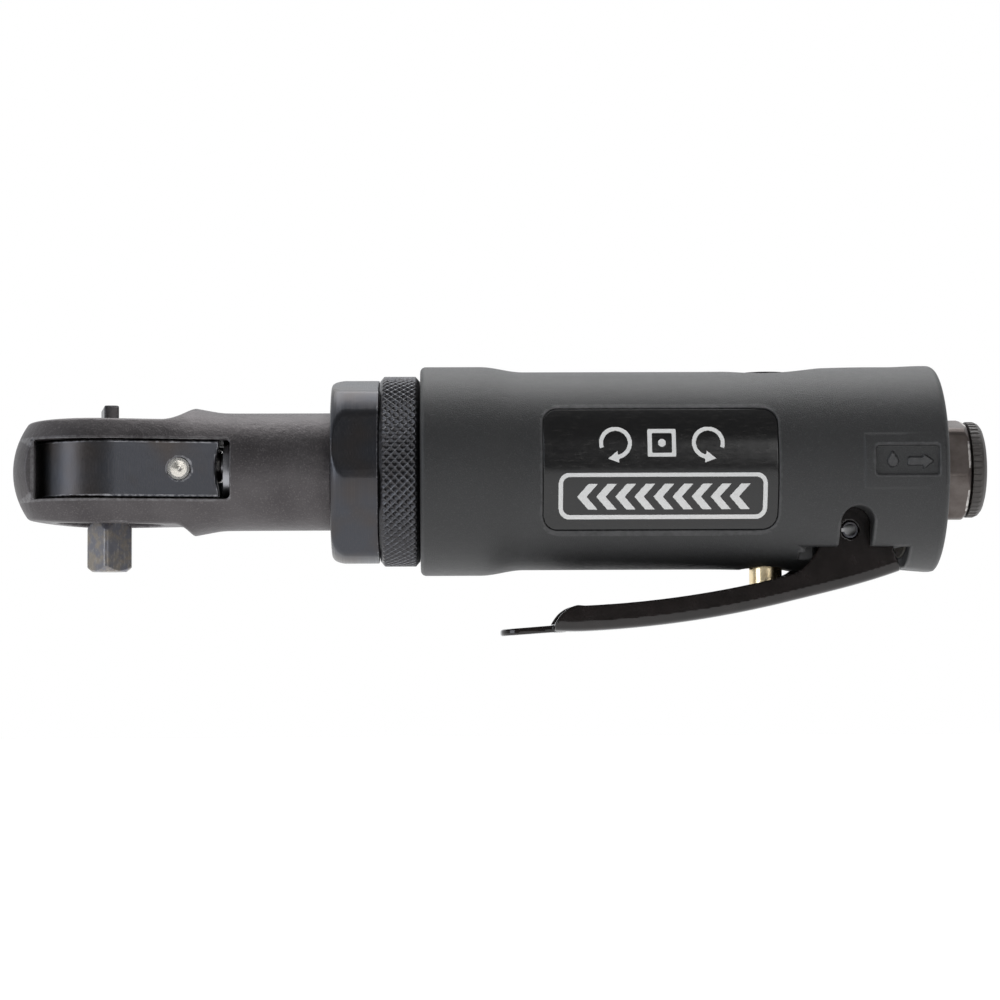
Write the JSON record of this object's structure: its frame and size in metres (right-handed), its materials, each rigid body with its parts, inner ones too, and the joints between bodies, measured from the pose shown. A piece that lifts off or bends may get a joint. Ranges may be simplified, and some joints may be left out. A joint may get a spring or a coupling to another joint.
{
  "type": "air ratchet wrench",
  "caption": "Compact pneumatic ratchet wrench: windowed ratchet head with a square drive, clamp nut and knurled ring, composite grip with a lever throttle, threaded rear inlet with a dust plug.",
  "frame": {"origin": "centre of the square drive at its shoulder, where a socket's mouth comes to rest; the tool axis runs 9.0 mm above it", "axes": "+X along the tool from the drive to the air inlet, -Z the way the square drive points, +Z towards the reversing knob, +Y to the side without the name plate"},
  "size_m": [0.1806, 0.039, 0.0503],
  "materials": {
    "forged_head": "black oxide over fine cast grain, edges worn bright",
    "black_oxide": "machined, black oxide",
    "hard_steel": "ground",
    "bright_steel": "polished",
    "drive_steel": "ground and handled",
    "knurl_black": "knurled, black oxide",
    "composite": "moulded composite, fine grain",
    "label_black": "gloss label, white print",
    "lever_black": "gloss black",
    "brass": "polished",
    "rubber": "soft",
    "plug_plastic": "moulded",
    "phosphate": "brown-grey phosphate, edges worn",
    "aluminium": "turned",
    "felt": "pressed felt",
    "vane": "laminated vane"
  },
  "bodies": {
    "housing": {"ratchet_housing": "forged_head", "retaining_ring": "hard_steel", "thrust_washer": "hard_steel", "friction_washer": "bright_steel", "crank_bearing_cup": "hard_steel", "crank_bearing_rollers": "bright_steel", "ring_gear": "hard_steel", "carrier_washer": "brass", "clamp_nut": "black_oxide", "knurled_lock_ring": "knurl_black", "motor_housing": "composite", "name_plate": "label_black", "front_end_plate": "aluminium", "front_bearing_outer": "hard_steel", "cylinder_liner": "hard_steel", "liner_dowel": "bright_steel", "rear_end_plate": "aluminium", "rear_bearing_outer": "hard_steel", "motor_gasket": "rubber", "valve_bushing": "brass", "valve_spring": "bright_steel", "valve_plug": "black_oxide", "valve_plug_o_ring": "rubber", "lever_pin": "black_oxide", "inlet_bushing": "phosphate", "inlet_o_ring": "rubber", "inlet_screen": "brass", "exhaust_silencer": "felt", "exhaust_deflector": "plug_plastic"},
    "anvil": {"drive_anvil": "drive_steel", "socket_ball": "bright_steel", "socket_ball_spring": "bright_steel", "pawl_pin": "hard_steel"},
    "pawl": {"pawl": "hard_steel"},
    "reverse_knob": {"reverse_knob": "black_oxide", "pawl_plunger": "bright_steel", "plunger_spring": "bright_steel"},
    "yoke": {"ratchet_yoke": "black_oxide", "yoke_wear_pins": "bright_steel"},
    "crank": {"crankshaft": "hard_steel", "planet_pins": "bright_steel"},
    "bushing": {"drive_bushing": "bright_steel"},
    "planet_1": {"planet_gear_1": "hard_steel"},
    "planet_2": {"planet_gear_2": "hard_steel"},
    "planet_3": {"planet_gear_3": "hard_steel"},
    "rotor": {"rotor": "hard_steel", "rotor_vanes": "vane", "front_bearing_inner": "hard_steel", "front_bearing_balls": "bright_steel", "rear_bearing_inner": "hard_steel", "rear_bearing_balls": "bright_steel"},
    "valve": {"valve_stem": "brass", "valve_o_ring": "rubber"},
    "lever": {"throttle_lever": "lever_black"},
    "dust_plug": {"inlet_dust_plug": "plug_plastic"}
  },
  "joints": [
    {"name": "lever_squeeze", "type": "hinge", "parent": "housing", "child": "lever", "pos_m": [0.1367, 0, -0.0026], "axis": [0, 1, 0], "range_deg": [0, 8], "stiffness_Nm_per_rad": 0.35, "springref_deg": -14.32},
    {"name": "valve_stroke", "type": "slide", "parent": "housing", "child": "valve", "axis": [0, 0, 1], "range_m": [0, 0.0024], "deforming": ["valve_spring"]},
    {"name": "anvil_spin", "type": "hinge", "parent": "housing", "child": "anvil", "pos_m": [0, 0, 0], "axis": [0, 0, 1], "continuous": true},
    {"name": "reverse_knob_turn", "type": "hinge", "parent": "anvil", "child": "reverse_knob", "pos_m": [0, 0, 0], "axis": [0, 0, 1], "range_deg": [0, 60]},
    {"name": "pawl_rock", "type": "hinge", "parent": "anvil", "child": "pawl", "pos_m": [0.00527, 0.00491, 0.009], "axis": [0, 0, 1], "range_deg": [-10, 0]},
    {"name": "yoke_swing", "type": "hinge", "parent": "housing", "child": "yoke", "pos_m": [0, 0, 0], "axis": [0, 0, 1], "range_deg": [-3.6, 3.6]},
    {"name": "rotor_spin", "type": "hinge", "parent": "housing", "child": "rotor", "pos_m": [0.085, 0, 0.009], "axis": [1, 0, 0], "continuous": true},
    {"name": "crank_spin", "type": "hinge", "parent": "housing", "child": "crank", "pos_m": [0.04, 0, 0.009], "axis": [1, 0, 0], "continuous": true},
    {"name": "bushing_turn", "type": "hinge", "parent": "crank", "child": "bushing", "pos_m": [0.017, 0, 0.0101], "axis": [1, 0, 0], "continuous": true},
    {"name": "planet_1_spin", "type": "hinge", "parent": "crank", "child": "planet_1", "pos_m": [0.053, 0, 0.00158], "axis": [1, 0, 0], "continuous": true},
    {"name": "planet_2_spin", "type": "hinge", "parent": "crank", "child": "planet_2", "pos_m": [0.053, 0.00643, 0.01271], "axis": [1, 0, 0], "continuous": true},
    {"name": "planet_3_spin", "type": "hinge", "parent": "crank", "child": "planet_3", "pos_m": [0.053, -0.00643, 0.01271], "axis": [1, 0, 0], "continuous": true},
    {"name": "dust_plug_pull", "type": "slide", "parent": "housing", "child": "dust_plug", "axis": [1, 0, 0], "range_m": [0, 0.06]}
  ],
  "couplings": [
    {"joint": "valve_stroke", "follows": "lever_squeeze", "m_per_rad": 0.0165},
    {"joint": "pawl_rock", "follows": "reverse_knob_turn", "ratio": -0.16667},
    {"joint": "crank_spin", "follows": "rotor_spin", "ratio": 0.22222},
    {"joint": "bushing_turn", "follows": "rotor_spin", "ratio": -0.22222},
    {"joint": "planet_1_spin", "follows": "rotor_spin", "ratio": -0.62222},
    {"joint": "planet_2_spin", "follows": "rotor_spin", "ratio": -0.62222},
    {"joint": "planet_3_spin", "follows": "rotor_spin", "ratio": -0.62222}
  ]
}
